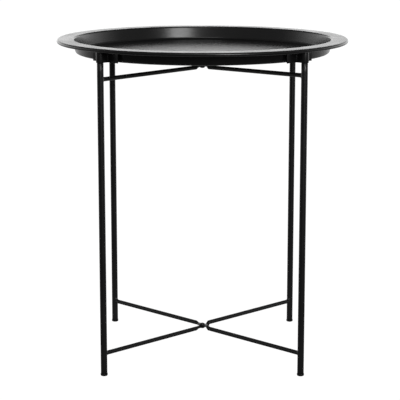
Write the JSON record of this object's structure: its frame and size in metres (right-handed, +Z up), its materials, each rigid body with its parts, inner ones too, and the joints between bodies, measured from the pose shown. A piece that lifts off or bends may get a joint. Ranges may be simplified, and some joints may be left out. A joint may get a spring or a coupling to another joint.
{
  "type": "folding side table",
  "caption": "Low round side table: a pressed lift-off tray with a flat rim on two crossed tube frames that fold together about central rivets.",
  "frame": {"origin": "point on the floor under the centre of the tray", "axes": "+Z up; -Y is the front; the legs stand on the diagonals between X and Y"},
  "size_m": [0.4699, 0.47, 0.52],
  "materials": {
    "tray_steel": "satin black powder coat",
    "bracket_steel": "satin black powder coat",
    "frame_steel": "satin black powder coat",
    "weld_steel": "satin black powder coat over weld",
    "rivet_steel": "black coat worn to grey on the heads",
    "cap_plastic": "moulded black plastic"
  },
  "bodies": {
    "frame_a": {"leg_front_left": "frame_steel", "foot_cap_front_left": "cap_plastic", "top_plug_front_left": "cap_plastic", "leg_back_right": "frame_steel", "foot_cap_back_right": "cap_plastic", "top_plug_back_right": "cap_plastic", "upper_crossbar_a": "frame_steel", "lower_crossbar_a": "frame_steel", "weld_beads_a": "weld_steel"},
    "frame_b": {"leg_front_right": "frame_steel", "foot_cap_front_right": "cap_plastic", "top_plug_front_right": "cap_plastic", "leg_back_left": "frame_steel", "foot_cap_back_left": "cap_plastic", "top_plug_back_left": "cap_plastic", "upper_crossbar_b": "frame_steel", "lower_crossbar_b": "frame_steel", "weld_beads_b": "weld_steel"},
    "pivot_rivets": {"upper_rivet": "rivet_steel", "lower_rivet": "rivet_steel"},
    "tray_unit": {"tray": "tray_steel", "bracket_front_left": "bracket_steel", "bracket_front_right": "bracket_steel", "bracket_back_left": "bracket_steel", "bracket_back_right": "bracket_steel"}
  },
  "joints": [
    {"name": "fold", "type": "hinge", "parent": "frame_a", "child": "frame_b", "pos_m": [0, 0, 0.0373], "axis": [0, 0, -1], "range_deg": [0, 54]},
    {"name": "rivet_turn", "type": "hinge", "parent": "frame_a", "child": "pivot_rivets", "pos_m": [0, 0, 0.0373], "axis": [0, 0, -1], "range_deg": [0, 27]},
    {"name": "tray_lift", "type": "slide", "parent": "pivot_rivets", "child": "tray_unit", "axis": [0, 0, 1], "range_m": [0, 0.151]}
  ],
  "couplings": [
    {"joint": "rivet_turn", "follows": "fold", "ratio": 0.5},
    {"joint": "tray_lift", "follows": "fold", "m_per_rad": 0.16}
  ]
}
